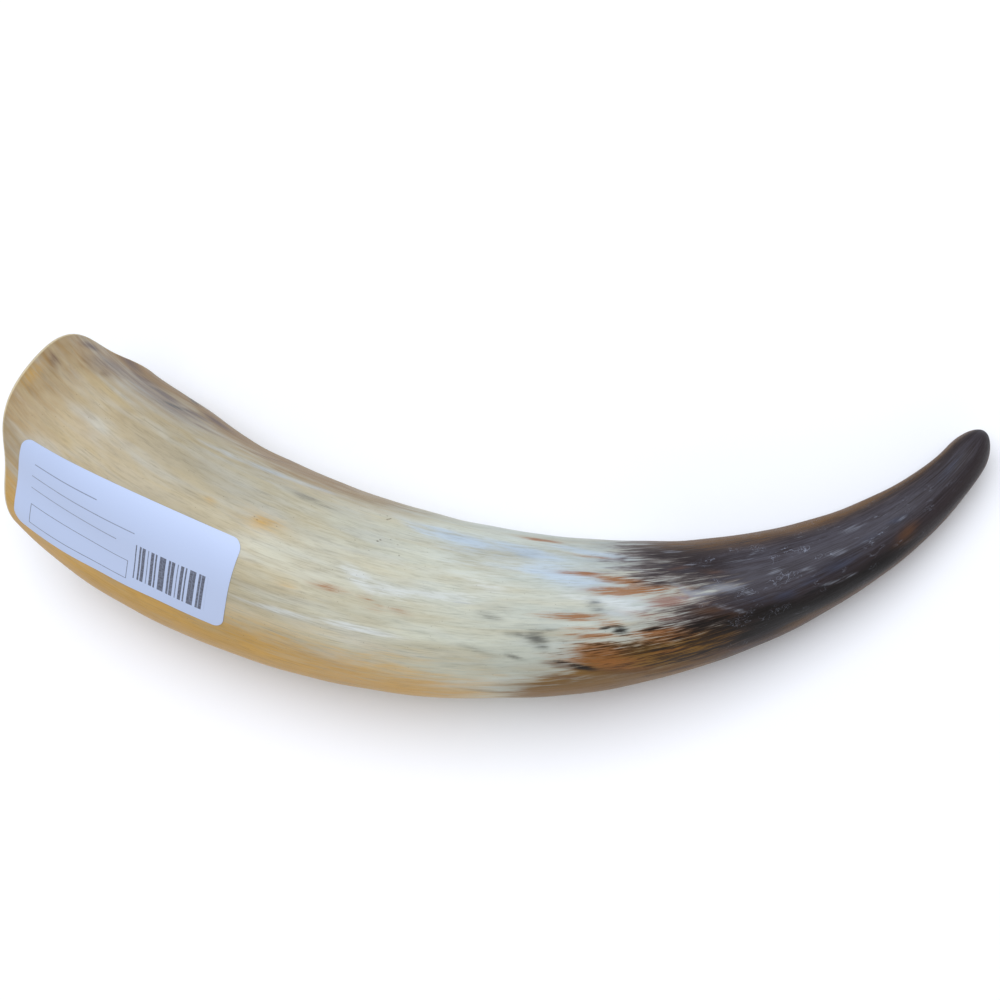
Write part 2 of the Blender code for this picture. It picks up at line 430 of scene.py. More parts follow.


# Each row holds one streak's numbers in the order of Streak's fields. They were placed one by one.
STREAKS: dict[PigmentAndPaintedLight, tuple[tuple[float, ...], ...]] = {
    PigmentAndPaintedLight.UMBER: (
        (-16, 108, -16, 118, 1.6, 0.4), (52, 154, 61, 174, 1.9, 0.7), (54, 142, 73, 146, 2.4, 0.4),
        (150, 44, 163, 34, 1.3, 0.65), (178, 30, 194, 15, 2.4, 0.7), (178, 77, 188, 72, 2.1, 0.6),
        (164, 22, 193, -3, 1.3, 0.5), (233, 57, 240, 62, 3.2, 0.8), (183, 113, 190, 106, 1.9, 0.45),
        (174, 118, 182, 119, 1.6, 0.4), (180, 68, 192, 63, 2.1, 0.6), (3, 130, 3, 136, 3.2, 0.4),
        (9, 101, 13, 112, 5.3, 0.3), (12, 98, 18, 104, 3.7, 0.24), (15, 118, 22, 122, 5.8, 0.27),
        (12, 129, 17, 135, 3.2, 0.25), (22, 105, 28, 110, 3.7, 0.28), (39, 118, 49, 123, 2.7, 0.22),
        (143, 51, 153, 44, 1.9, 1.0), (168, 64, 180, 58, 1.6, 0.6), (142, 39, 155, 31, 1.6, 0.7),
        (231, 53, 238, 45, 2.9, 0.7),
    ),
    PigmentAndPaintedLight.HONEY: (
        (64, 106, 71, 107, 2.4, 0.8), (60, 105, 75, 107, 5.8, 0.45), (51, 104, 55, 104, 2.4, 0.4),
        (75, 78, 83, 77, 4.2, 0.35), (-9, 94, -11, 114, 5.3, 0.4), (122, 46, 137, 40, 3.2, 0.35),
        (125, 57, 132, 54, 2.7, 0.25),
    ),
    # Painted shade in streaks along the inner edge.
    PigmentAndPaintedLight.TAN: (
        (67, 155, 93, 158, 3.7, 0.9), (93, 156, 110, 162, 2.4, 0.6),
    ),
    # Pale bluish-white patches; those along the inner flank are the painted reflection of the sky.
    PigmentAndPaintedLight.FROST_AND_SKY_REFLECTION: (
        (40, 134, 55, 138, 1.9, 0.5), (54, 138, 80, 145, 2.1, 0.65), (101, 142, 115, 131, 3.2, 0.55),
        (109, 139, 132, 133, 4.8, 0.95), (126, 140, 148, 129, 4.0, 0.95), (145, 145, 169, 130, 3.2, 0.9),
        (136, 122, 160, 107, 5.8, 0.85), (163, 124, 175, 112, 1.9, 0.6), (156, 89, 168, 77, 2.4, 0.5),
        (154, 99, 171, 87, 4.2, 0.55),
    ),
    PigmentAndPaintedLight.SMOKE: (
        (68, 131, 86, 131, 2.4, 0.5), (88, 76, 96, 77, 1.6, 0.4), (125, 91, 139, 87, 2.4, 0.45),
        (116, 90, 126, 90, 1.3, 0.35), (111, 60, 123, 58, 1.1, 0.5), (122, 64, 132, 57, 1.6, 0.5),
        (153, 96, 158, 88, 3.2, 0.6), (130, 131, 141, 127, 3.2, 0.3), (20, 152, 25, 164, 3.2, 0.95),
        (9, 166, 15, 172, 1.3, 0.6), (133, 74, 140, 72, 1.6, 0.7), (138, 72, 144, 69, 3.4, 0.95),
        (140, 65, 144, 63, 1.9, 0.75), (141, 77, 147, 75, 1.6, 0.5), (126, 86, 133, 83, 2.4, 0.5),
        (133, 59, 138, 54, 1.1, 0.7), (144, 69, 149, 67, 1.3, 0.45),
    ),
    PigmentAndPaintedLight.CREAM: (
        (54, 127, 74, 127, 2.4, 0.4), (80, 122, 98, 127, 2.9, 0.8), (66, 92, 83, 95, 6.4, 0.8),
        (67, 66, 84, 70, 2.7, 0.6), (132, 102, 152, 92, 4.8, 0.5),
    ),
    PigmentAndPaintedLight.CHALK: (
        (67, 60, 91, 64, 2.1, 0.55), (89, 64, 106, 64, 2.1, 0.85), (91, 98, 102, 89, 3.2, 0.75),
        (97, 92, 113, 90, 2.9, 0.75), (107, 92, 128, 94, 2.7, 0.7), (123, 106, 132, 102, 2.4, 0.55),
        (99, 107, 111, 109, 2.4, 0.4), (147, 102, 156, 96, 2.7, 0.6), (157, 94, 167, 86, 3.4, 0.8),
    ),
    PigmentAndPaintedLight.RUST: (
        (85, 84, 94, 84, 2.1, 0.42), (97, 83, 104, 80, 3.2, 0.36), (104, 81, 111, 79, 2.1, 0.3),
        (136, 152, 146, 151, 1.6, 0.9), (149, 136, 160, 133, 0.8, 0.7), (146, 118, 158, 116, 1.3, 0.6),
        (156, 115, 168, 107, 2.1, 0.75), (155, 103, 171, 100, 2.1, 0.95), (167, 103, 180, 98, 1.6, 0.6),
        (143, 86, 157, 83, 1.6, 0.85), (155, 81, 162, 75, 2.1, 0.6), (148, 76, 157, 74, 1.3, 0.5),
        (147, 72, 160, 68, 1.3, 0.8), (150, 60, 162, 53, 4.2, 1.1), (148, 53, 165, 43, 3.2, 1.0),
        (155, 44, 167, 30, 2.7, 0.8), (164, 60, 181, 56, 2.7, 0.75), (165, 48, 178, 44, 2.1, 0.65),
        (180, 65, 191, 63, 1.1, 0.5), (168, 65, 180, 59, 1.1, 0.6), (163, 68, 178, 62, 2.4, 0.75),
    ),
    PigmentAndPaintedLight.ROSE: (
        (180, 82, 188, 80, 2.1, 0.45), (169, 91, 179, 89, 2.4, 0.8), (167, 100, 173, 99, 1.3, 0.5),
        (163, 84, 178, 72, 1.6, 0.5),
    ),
    # Golden-brown streaks in the painted warm reflection along the lower edge.
    PigmentAndPaintedLight.AMBER_AND_GROUND_REFLECTION: (
        (154, 37, 169, 27, 2.4, 0.8), (164, 27, 180, 21, 2.1, 0.7),
    ),
    PigmentAndPaintedLight.CHAR: (
        (156, 74, 160, 75, 1.1, 0.8), (165, 69, 172, 69, 1.1, 0.75), (171, 57, 178, 54, 1.3, 0.85),
        (167, 51, 177, 46, 0.8, 0.65), (175, 36, 185, 34, 1.6, 0.7), (176, 68, 195, 49, 5.3, 0.85),
        (189, 60, 211, 41, 5.3, 1.0), (206, 48, 225, 35, 3.4, 0.95), (160, 19, 179, 17, 1.1, 0.6),
        (159, 74, 163, 70, 2.4, 1.0), (156, 74, 159, 74, 1.3, 0.6), (148, 49, 154, 41, 1.6, 1.0),
        (144, 53, 149, 50, 0.8, 0.7), (155, 31, 164, 18, 0.8, 0.5),
    ),
    # Purple-grey streaks of painted reflection of the light from above on the dark tip.
    PigmentAndPaintedLight.SLATE_AND_SKY_REFLECTION: (
        (168, 128, 185, 110, 3.4, 0.5), (183, 104, 200, 89, 3.2, 0.6),
    ),
    PigmentAndPaintedLight.OLIVE: (
        (140, 28, 164, 9, 3.2, 0.95), (124, 24, 140, 18, 1.9, 0.5), (145, 35, 156, 32, 1.3, 0.6),
    ),
    PigmentAndPaintedLight.PITS: (
        (96, 117, 106, 117, 3.2, 1.0), (95, 139, 100, 137, 1.9, 0.8), (64, 106, 71, 107, 2.7, 0.6),
    ),
    PigmentAndPaintedLight.BRINDLE: (
        (149, 59, 179, 49, 6.9, 0.9), (177, 52, 201, 29, 4.2, 0.8),
    ),
    PigmentAndPaintedLight.HAZE: (
        (174, 140, 180, 138, 1.3, 0.6), (176, 103, 182, 86, 1.6, 1.0), (179, 94, 186, 89, 1.3, 1.0),
        (184, 95, 193, 89, 2.1, 1.0), (191, 89, 195, 78, 1.3, 0.7), (174, 95, 181, 84, 1.1, 0.6),
        (184, 80, 190, 68, 1.6, 0.45), (189, 69, 192, 63, 1.1, 0.65), (200, 95, 204, 95, 1.3, 0.8),
        (208, 86, 212, 81, 1.3, 0.5), (212, 59, 218, 51, 1.1, 0.6), (217, 55, 221, 51, 0.8, 0.75),
        (221, 114, 228, 108, 2.1, 0.5), (227, 110, 232, 112, 1.3, 0.45), (209, 129, 213, 125, 0.8, 0.6),
        (215, 93, 222, 84, 1.9, 0.5), (224, 88, 230, 75, 1.3, 0.45), (188, 120, 199, 115, 1.9, 0.4),
        (177, 124, 187, 116, 0.8, 0.5), (195, 116, 201, 126, 0.8, 0.55), (236, 86, 239, 84, 0.8, 0.8),
        (180, 110, 190, 100, 0.8, 0.4),
    ),
    # Blue spots of painted sky reflection on the dark tip.
    PigmentAndPaintedLight.SKY_BLUE_REFLECTION: (
        (212, 74, 222, 73, 3.4, 0.85), (199, 66, 205, 65, 2.4, 0.85), (192, 78, 199, 66, 2.1, 0.5),
        (234, 90, 239, 84, 1.3, 0.9), (223, 84, 232, 85, 2.4, 0.45), (250, 93, 261, 106, 2.4, 0.6),
        (206, 70, 214, 72, 2.1, 0.6),
    ),
    PigmentAndPaintedLight.MAUVE: (
        (-12, 140, -8, 148, 3.7, 0.7), (-13, 119, -7, 116, 2.7, 0.45), (-2, 145, 6, 152, 6.4, 0.55),
        (0, 166, 12, 174, 5.3, 0.6), (9, 170, 22, 168, 4.5, 0.8), (23, 167, 33, 169, 3.4, 0.7),
        (31, 148, 41, 155, 2.7, 0.5),
    ),
}


@dataclass(frozen=True)
class Colouring:
    """Where each tint lies, keratin colour and painted light alike: broad fields worked out by formula, and
    single streaks on top.
    """

    form: HornForm
    tip_edge_angles: tuple[float, ...] = (
        *(0, 25, 50, 72, 84, 92, 101, 110),
        *(126, 141, 180, 225, 270, 315, 360),
    )
    tip_edge_along: tuple[float, ...] = (
        *(176, 172, 172, 171, 174, 186, 176, 168),
        *(163, 163, 166, 172, 176, 172, 176),
    )
    tip_edge_depth: float = 36.0
    inner_edge_along: tuple[float, ...] = (25.0, 65.0, 100.0, 200.0)
    inner_edge_angles: tuple[float, ...] = (192.0, 171.0, 163.0, 158.0)
    underside_shift: float = 9.0
    underside_turn: float = 14.0
    underside_seed: int = 5

    def streaks(self) -> list[tuple[PigmentAndPaintedLight, Streak]]:
        """Lists the streaks of the side that is seen, and for the underside the same ones moved at random."""
        rng = np.random.default_rng(self.underside_seed)
        shift, turn = self.underside_shift, self.underside_turn
        seen = [(tint, Streak(*numbers)) for tint, rows in STREAKS.items() for numbers in rows]
        unseen = [
            (tint, streak.mirrored(rng.uniform(-shift, shift), rng.uniform(-turn, turn)))
            for tint, streak in seen
        ]
        return seen + unseen

    def broad(self, tint: PigmentAndPaintedLight, along: np.ndarray, angle: np.ndarray) -> np.ndarray:
        """The broad field of a tint: bells round the section times steps along the horn.

        A bell's numbers are degrees, a step's are millimetres along the horn, and the factors are strengths.

        Args:
            tint: the tint asked for.
            along: millimetres along the horn.
            angle: degrees round it.

        Returns:
            The field, 0 where the tint has no broad part.
        """

        def bell(centre: float | np.ndarray, spread: float | np.ndarray) -> np.ndarray:
            """Highest at one angle round the section, and gone within about two spreads of it."""
            return np.exp(-((turn_between(angle, centre) / spread) ** 2))

        def between(rise: tuple[float, float], fall: tuple[float, float]) -> np.ndarray:
            """Rises along the first stretch of the horn and falls along the second."""
            return smooth_step(*rise, along) * (1 - smooth_step(*fall, along))

        inner_edge = np.interp(along, self.inner_edge_along, self.inner_edge_angles)

        match tint:
            case PigmentAndPaintedLight.HONEY:
                flanks = 1.0 * bell(8, 40) + 0.5 * bell(270, 60)
                return np.clip(flanks, 0, 1) * (1 - smooth_step(106, 150, along))
            # The band that follows the inner edge's outline is painted shade; the part near the base is the
            # horn's own brown.
            case PigmentAndPaintedLight.TAN:
                spread = np.interp(along, (20.0, 55.0), (20.0, 32.0))
                edge = 0.9 * bell(inner_edge, spread) * (1 - smooth_step(62, 140, along))
                return edge + 0.5 * (1 - smooth_step(-14, 22, along))
            case PigmentAndPaintedLight.CREAM:
                return 0.5 * bell(100, 55) * smooth_step(50, 90, along)
            case PigmentAndPaintedLight.MAUVE:
                middle = np.interp(along, (-4.0, 8.0, 35.0), (144.0, 156.0, 154.0))
                return 0.5 * bell(middle, 19) * between((-12, 0), (24, 46))
            case PigmentAndPaintedLight.TIP:
                edge = np.interp(angle % 360, self.tip_edge_angles, self.tip_edge_along)
                return np.clip(0.5 + (along - edge) / self.tip_edge_depth, 0, 2)
            # Painted reflection of the light from above on top of the dark tip, broken into purple-grey
            # streaks.
            case PigmentAndPaintedLight.SLATE_AND_SKY_REFLECTION:
                dark = 0.85 * bell(100, 44) * smooth_step(172, 200, along)
                return dark * (1 - 0.4 * smooth_step(225, 262, along))
            # Painted reflection of the bluish sky: a band along the inner flank.
            case PigmentAndPaintedLight.FROST_AND_SKY_REFLECTION:
                return 0.42 * bell(128, 26) * between((96, 130), (164, 184))
            # Painted warm reflection of the ground along the tip's edges: one band follows the inner edge's
            # outline, one the outer edge.
            case PigmentAndPaintedLight.AMBER_AND_GROUND_REFLECTION:
                spread = np.interp(along, (165.0, 205.0), (19.0, 27.0))
                inner = bell(inner_edge + 6, spread) * smooth_step(155, 186, along)
                outer = 0.55 * bell(6, 20) * smooth_step(172, 205, along)
                return (inner + outer) * (1 - 0.35 * smooth_step(215, 262, along))
            case PigmentAndPaintedLight.OLIVE:
                edge = 0.95 * bell(8, 34) * between((120, 150), (180, 210))
                flank = 0.85 * bell(42, 21) * between((144, 155), (184, 206))
                return np.maximum(edge, flank)
            case PigmentAndPaintedLight.BRINDLE:
                return 0.78 * bell(42, 26) * between((146, 166), (196, 218))
            case PigmentAndPaintedLight.CHAR:
                return 0.95 * bell(38, 22) * between((178, 196), (226, 250))
            case PigmentAndPaintedLight.WEAR:
                return between((176, 190), (240, 264)) * bell(95, 70)
            case _:
                return np.zeros_like(along)

    def fields(self, along: np.ndarray, angle: np.ndarray) -> dict[PigmentAndPaintedLight, np.ndarray]:
        """Adds the streaks to each tint's broad field, the strongest one counting.

        Args:
            along: millimetres along the horn, for each point.
            angle: degrees round it.

        Returns:
            Each tint's field.
        """
        fields = {tint: self.broad(tint, along, angle) for tint in PigmentAndPaintedLight}
        for tint, streak in self.streaks():
            fields[tint] = np.maximum(fields[tint], streak.field(along, angle, self.form))
        return fields


@dataclass(frozen=True)
class Wash:
    """How one tint shows: its colour, how far its edge frays, and the field where it starts and is full.

    Tongues are streaks a millimetre or two wide, and bristles are single fibres.
    """

    tint: PigmentAndPaintedLight
    colour: str
    tongues: float
    bristles: float
    low: float
    high: float
    strength: float = 1.0


@dataclass(frozen=True)
class Fibres:
    """A set of fibres: each one's length and width, its octaves, and where its noise starts."""

    long: float
    wide: float
    detail: float
    offset: float
    roughness: ClassVar[float] = 0.6
    distortion: ClassVar[float] = 0.25
    spread: ClassVar[tuple[float, float]] = (0.3, 0.7)


@dataclass(frozen=True)
class PolishedKeratin:
    """Water buffalo horn, which is keratin: fibres along its length, scraped, sanded and buffed to a satin.

    It shows long streaks that fray at their ends, golden-brown edges near the tip, and a broad soft gloss.
    Some of
    its colours are painted light: the sky's reflection on the inner flank and on top of the dark tip, a warm
    reflection of the ground along the tip's edges, and shade along the inner edge near the base.
    """

    name: str = "polished_buffalo_horn"
    ior: float = 1.54
    base_tones: tuple[tuple[float, str], ...] = (
        (0.0, "#B1A080"),
        (0.15, "#ADA287"),
        (0.28, "#B5AD93"),
        (0.42, "#BCBEAC"),
        (0.55, "#B4BBB1"),
        (0.66, "#B2BAB4"),
    )
    washes: tuple[Wash, ...] = (
        # Brown: painted shade along the inner edge, and the horn's own colour near the base.
        Wash(PigmentAndPaintedLight.TAN, "#86642F", 0.5, 0.25, 0.1, 0.9, 0.85),
        Wash(PigmentAndPaintedLight.CREAM, "#C5C5B2", 0.6, 0.3, 0.0, 1.0, 0.7),
        Wash(PigmentAndPaintedLight.HONEY, "#C19540", 0.5, 0.25, 0.1, 1.0, 0.9),
        Wash(PigmentAndPaintedLight.MAUVE, "#5C4948", 0.3, 0.3, 0.0, 0.8, 0.85),
        # Pale bluish-white patches, with the painted reflection of the sky along the inner flank.
        Wash(PigmentAndPaintedLight.FROST_AND_SKY_REFLECTION, "#B3C3D1", 0.6, 0.4, 0.05, 1.0, 0.85),
        Wash(PigmentAndPaintedLight.CHALK, "#CDD2CF", 0.7, 0.5, 0.1, 1.0, 0.85),
        Wash(PigmentAndPaintedLight.SMOKE, "#3F3F3B", 0.7, 0.8, 0.1, 1.15, 0.85),
        Wash(PigmentAndPaintedLight.TIP, "#62524F", 0.6, 0.7, 0.14, 0.7, 0.85),
        Wash(PigmentAndPaintedLight.OLIVE, "#755104", 0.5, 0.4, 0.08, 0.65, 0.96),
        Wash(PigmentAndPaintedLight.ROSE, "#876458", 0.6, 0.8, 0.0, 0.8, 0.9),
        Wash(PigmentAndPaintedLight.RUST, "#905C2C", 0.6, 0.9, 0.05, 0.85, 0.9),
        Wash(PigmentAndPaintedLight.TIP, "#251C1E", 0.6, 0.6, 0.42, 0.9, 0.96),
        # Purple-grey: the painted reflection of the light from above on the dark tip.
        Wash(PigmentAndPaintedLight.SLATE_AND_SKY_REFLECTION, "#4D4B53", 0.8, 0.7, 0.1, 1.25, 0.85),
        # Blue: the painted reflection of the sky on the dark tip.
        Wash(PigmentAndPaintedLight.SKY_BLUE_REFLECTION, "#323C52", 0.6, 0.6, 0.05, 1.2, 0.5),
        Wash(PigmentAndPaintedLight.UMBER, "#5C3D24", 0.5, 0.5, 0.1, 0.95, 0.7),
        Wash(PigmentAndPaintedLight.BRINDLE, "#2A1C0B", 1.0, 1.5, 0.4, 1.1, 0.9),
        Wash(PigmentAndPaintedLight.CHAR, "#0E0A08", 0.7, 0.7, 0.2, 0.95, 0.95),
        # Golden-brown: the painted warm reflection of the ground along the tip's edges.
        Wash(PigmentAndPaintedLight.AMBER_AND_GROUND_REFLECTION, "#624009", 0.6, 0.6, 0.05, 0.9, 0.95),
        Wash(PigmentAndPaintedLight.HAZE, "#878B94", 0.7, 0.9, 0.2, 1.2, 0.75),
        Wash(PigmentAndPaintedLight.INSIDE, "#8E7249", 0.2, 0.1, 0.3, 0.6, 0.9),
        Wash(PigmentAndPaintedLight.SAWN, "#CDBE9C", 0.1, 0.1, 0.3, 0.6, 0.9),
    )
    drifts: tuple[tuple[str, Fibres], ...] = (
        ("#B09C6C", Fibres(27.0, 4.6, 2.0, 91.0)),
        ("#C3CAC9", Fibres(27.0, 4.6, 2.0, 113.0)),
    )
    drift_span: tuple[float, float] = (0.4, 1.0)
    drift_strength: float = 0.35
    scratch_colour: str = "#8F95A3"
    pit_colour: str = "#3D2C18"
    patches: Fibres = Fibres(38.0, 6.0, 3.0, 3.0)
    clumps: Fibres = Fibres(11.0, 2.4, 2.0, 71.0)
    streaks: Fibres = Fibres(14.0, 1.2, 4.0, 17.0)
    fine: Fibres = Fibres(4.0, 0.45, 3.0, 31.0)
    hairs: Fibres = Fibres(9.0, 0.35, 2.0, 53.0)
    frayed_from: float = 0.4
    patch_shade: tuple[float, float] = (0.88, 1.1)
    streak_span: tuple[float, float] = (0.0, 0.5)
    streak_darkest: float = 0.93
    fine_darkest: float = 0.86
    hair_span: tuple[float, float] = (0.05, 0.35)
    scratch_scale: float = 0.28
    scratch_bend: float = 1.6
    scratch_half: float = 0.016
    scratch_patch_scale: float = 0.16
    scratch_patch_span: tuple[float, float] = (0.55, 0.66)
    scratch_strength: float = 0.7
    pit_spacing: tuple[float, float, float] = (0.45, 0.7, 0.7)
    pit_radius: tuple[float, float] = (0.07, 0.3)
    pit_edge: tuple[float, float] = (1.0, 0.4)
    pit_strength: float = 0.6
    groove_strength: float = 0.35
    groove_depth: float = 0.12 * MM
    roughness: tuple[float, float] = (0.36, 0.5)
    specular: float = 0.2

    @staticmethod
    def fibres(tree: bpy.types.NodeTree, kind: Fibres) -> bpy.types.NodeSocket:
        """Draws a noise stretched along the fibres, spread to the whole range from 0 to 1.

        Args:
            tree: the material's nodes.
            kind: the fibres' size and where in the noise they start, so that two sets differ.

        Returns:
            The output that holds the noise.
        """
        scale = (1 / kind.long, 1 / kind.wide, 1 / kind.wide)
        start = (kind.offset, kind.offset, -kind.offset)
        grain = attribute(tree, "grain", "Vector")
        place = add_node(
            tree, "ShaderNodeMapping", inputs={"Vector": grain, "Scale": scale, "Location": start}
        ).outputs[0]
        look = {"Detail": kind.detail, "Roughness": kind.roughness, "Distortion": kind.distortion}
        noise = add_node(tree, "ShaderNodeTexNoise", inputs={"Vector": place, "Scale": 1.0, **look})
        return ranged(tree, noise.outputs[0], kind.spread, (0.0, 1.0))

    def lay(
        self,
        tree: bpy.types.NodeTree,
        under: bpy.types.NodeSocket,
        wash: Wash,
        tongues: bpy.types.NodeSocket,
        bristles: bpy.types.NodeSocket,
    ) -> bpy.types.NodeSocket:
        """Lays a tint over what is there: its field plus or minus the fibres, cut to a soft edge.

        The fibres count for less where the field is low, so none of it shows where there is no field.

        Args:
            tree: the material's nodes.
            under: the colour so far.
            wash: the tint and how it shows.
            tongues: the wide streaks that fray it.
            bristles: the single fibres that fray it.

        Returns:
            The output that holds the new colour.
        """
        field = attribute(tree, wash.tint.value)
        swing = -(wash.tongues + wash.bristles) / 2
        for noise, reach in ((tongues, wash.tongues), (bristles, wash.bristles)):
            swing = calculated(tree, "MULTIPLY_ADD", noise, reach, swing)
        gate = calculated(tree, "MULTIPLY", field, 1 / self.frayed_from, clamp=True)
        frayed = calculated(tree, "MULTIPLY_ADD", swing, gate, field)
        cover = ranged(tree, frayed, (wash.low, wash.high), (0.0, wash.strength), smooth=True)
        return blended(tree, cover, under, linear(wash.colour))

    def scratches(self, tree: bpy.types.NodeTree) -> bpy.types.NodeSocket:
        """Draws fine curved scratches: the narrow band where a noise crosses its middle, in patches.

        Args:
            tree: the material's nodes.

        Returns:
            The output that holds how much scratch shows.
        """
        grain = attribute(tree, "grain", "Vector")
        look = {"Scale": self.scratch_scale, "Detail": 2.0, "Distortion": self.scratch_bend}
        curves = add_node(tree, "ShaderNodeTexNoise", inputs={"Vector": grain, **look})
        away = calculated(tree, "ABSOLUTE", calculated(tree, "SUBTRACT", curves.outputs[0], 0.5))
        line = ranged(tree, away, (self.scratch_half, 0.0), (0.0, 1.0))
        patches = add_node(
            tree,
            "ShaderNodeTexNoise",
            inputs={"Vector": grain, "Scale": self.scratch_patch_scale, "Detail": 1.0},
        )
        where = ranged(tree, patches.outputs[0], self.scratch_patch_span, (0.0, self.scratch_strength))
        shown = calculated(tree, "MULTIPLY", line, where)
        return calculated(tree, "MULTIPLY", shown, attribute(tree, PigmentAndPaintedLight.WEAR.value))

    def pits(self, tree: bpy.types.NodeTree) -> bpy.types.NodeSocket:
        """Draws small dark pits: a dot round each point of a scatter, sparse outside the pitted patches.

        Args:
            tree: the material's nodes.

        Returns:
            The output that holds how much pit shows.
        """
        grain = attribute(tree, "grain", "Vector")
        place = add_node(tree, "ShaderNodeMapping", inputs={"Vector": grain, "Scale": self.pit_spacing})
        scatter = add_node(tree, "ShaderNodeTexVoronoi", inputs={"Vector": place.outputs[0], "Scale": 1.0})
        radius = ranged(tree, attribute(tree, PigmentAndPaintedLight.PITS.value), (0.0, 1.0), self.pit_radius)
        near = calculated(tree, "DIVIDE", scatter.outputs["Distance"], radius)
        return ranged(tree, near, self.pit_edge, (0.0, self.pit_strength))

    def base(self, tree: bpy.types.NodeTree) -> bpy.types.NodeSocket:
        """Lays the ground colour, which changes along the horn and drifts to two other tones in places.

        Args:
            tree: the material's nodes.

        Returns:
            The output that holds the colour.
        """
        ramp = add_node(tree, "ShaderNodeValToRGB", inputs={0: attribute(tree, "share")})
        tones = ramp.color_ramp.elements
        for _ in range(len(self.base_tones) - len(tones)):
            tones.new(0.5)
        for tone, (position, colour) in zip(tones, self.base_tones):
            tone.position = position
            tone.color = linear(colour)
        ground = ramp.outputs[0]
        for tone, kind in self.drifts:
            amount = ranged(tree, self.fibres(tree, kind), self.drift_span, (0.0, self.drift_strength))
            ground = blended(tree, amount, ground, linear(tone))
        return ground

    def make(self) -> bpy.types.Material:
        """Builds the material.

        Returns:
            The material, which reads the horn's own attributes.
        """
        material = bpy.data.materials.new(self.name)
        material.use_nodes = True
        tree = material.node_tree
        shader = tree.nodes["Principled BSDF"]

        kinds = (self.patches, self.clumps, self.streaks, self.fine, self.hairs)
        patches, clumps, streaks, fine, hairs = (self.fibres(tree, kind) for kind in kinds)
        number = {"data_type": "FLOAT"}
        tongues = add_node(tree, "ShaderNodeMix", number, {0: 0.5, 2: streaks, 3: clumps}).outputs[0]
        bristles = add_node(tree, "ShaderNodeMix", number, {0: 0.5, 2: fine, 3: hairs}).outputs[0]

        colour = self.base(tree)
        for wash in self.washes:
            colour = self.lay(tree, colour, wash, tongues, bristles)

        shade = ranged(tree, patches, (0.0, 1.0), self.patch_shade)
        shades = (
            (streaks, self.streak_span, self.streak_darkest),
            (fine, self.streak_span, self.fine_darkest),
            (hairs, self.hair_span, self.fine_darkest),
        )
        for noise, span, darkest in shades:
            shade = calculated(tree, "MULTIPLY", shade, ranged(tree, noise, span, (darkest, 1.0)))
        scaled = add_node(tree, "ShaderNodeVectorMath", {"operation": "SCALE"}, {0: colour, "Scale": shade})
        colour = blended(tree, self.pits(tree), scaled.outputs[0], linear(self.pit_colour))
        colour = blended(tree, self.scratches(tree), colour, linear(self.scratch_colour))

        relief = {"Height": bristles, "Strength": self.groove_strength, "Distance": self.groove_depth}
        grooves = add_node(tree, "ShaderNodeBump", inputs=relief)
        tree.links.new(colour, shader.inputs["Base Color"])
        tree.links.new(ranged(tree, streaks, (0.0, 1.0), self.roughness), shader.inputs["Roughness"])
        tree.links.new(grooves.outputs[0], shader.inputs["Normal"])
        shader.inputs["IOR"].default_value = self.ior
        shader.inputs["Specular IOR Level"].default_value = self.specular
        return material


